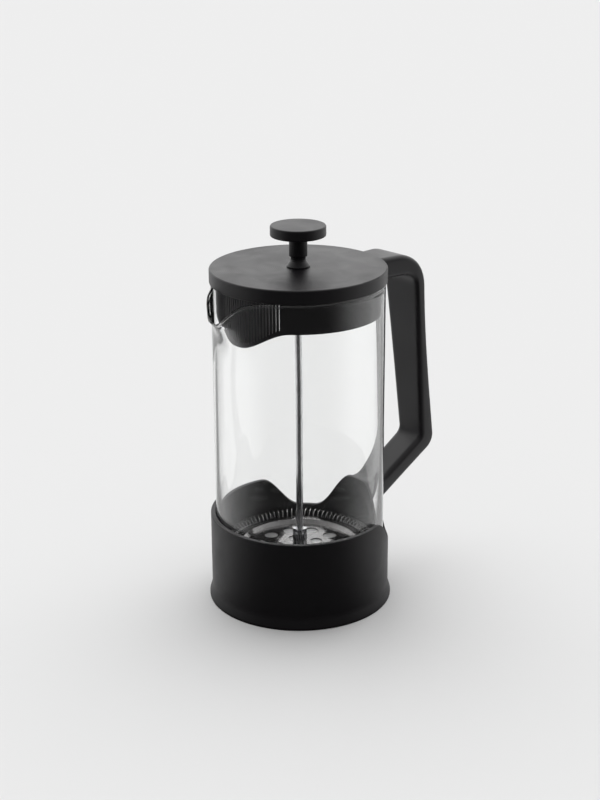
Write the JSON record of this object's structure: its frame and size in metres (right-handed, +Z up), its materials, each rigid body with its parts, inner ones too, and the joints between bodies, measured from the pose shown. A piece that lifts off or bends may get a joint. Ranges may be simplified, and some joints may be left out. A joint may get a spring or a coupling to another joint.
{
  "type": "french press",
  "caption": "Coffee press with a spouted glass beaker in a black cup with a strap handle, a turning strainer lid and a rod plunger with a knob, perforated plate, spring and mesh filter.",
  "frame": {"origin": "point on the table under the axis of the glass beaker", "axes": "+Z up along the beaker's axis and the plunger rod, +X towards the handle, -X towards the pouring spout"},
  "size_m": [0.1732, 0.1096, 0.2278],
  "materials": {
    "black_plastic": "satin moulded polypropylene, warm black",
    "clear_glass": "clear polished borosilicate glass",
    "stainless_steel": "polished stainless steel",
    "spring_wire": "bright drawn stainless wire",
    "woven_mesh": "fine woven stainless screen",
    "brass": "turned brass"
  },
  "bodies": {
    "frame": {"base_cup": "black_plastic", "handle": "black_plastic"},
    "beaker": {"glass_beaker": "clear_glass"},
    "lid_guide": {"lid_guide": "black_plastic"},
    "lid": {"lid_cover": "black_plastic", "lid_strainer": "black_plastic"},
    "plunger_rod": {"plunger_rod": "stainless_steel"},
    "plunger": {"knob": "black_plastic", "knob_insert": "brass", "filter_crown": "stainless_steel", "filter_sleeve": "stainless_steel", "spring_plate": "stainless_steel", "coil_spring": "spring_wire", "mesh_screen": "woven_mesh", "cross_plate": "stainless_steel", "filter_nut": "stainless_steel"}
  },
  "joints": [
    {"name": "beaker_lift", "type": "slide", "parent": "frame", "child": "beaker", "axis": [0, 0, 1], "range_m": [0, 0.065]},
    {"name": "lid_lift", "type": "slide", "parent": "beaker", "child": "lid_guide", "axis": [0, 0, 1], "range_m": [0, 0.18]},
    {"name": "lid_turn", "type": "hinge", "parent": "lid_guide", "child": "lid", "pos_m": [0, 0, 0.2], "axis": [0, 0, 1], "continuous": true},
    {"name": "plunge", "type": "slide", "parent": "lid_guide", "child": "plunger_rod", "axis": [0, 0, 1], "range_m": [0, 0.13]},
    {"name": "plunger_turn", "type": "hinge", "parent": "plunger_rod", "child": "plunger", "pos_m": [0, 0, 0.2], "axis": [0, 0, 1], "continuous": true}
  ]
}
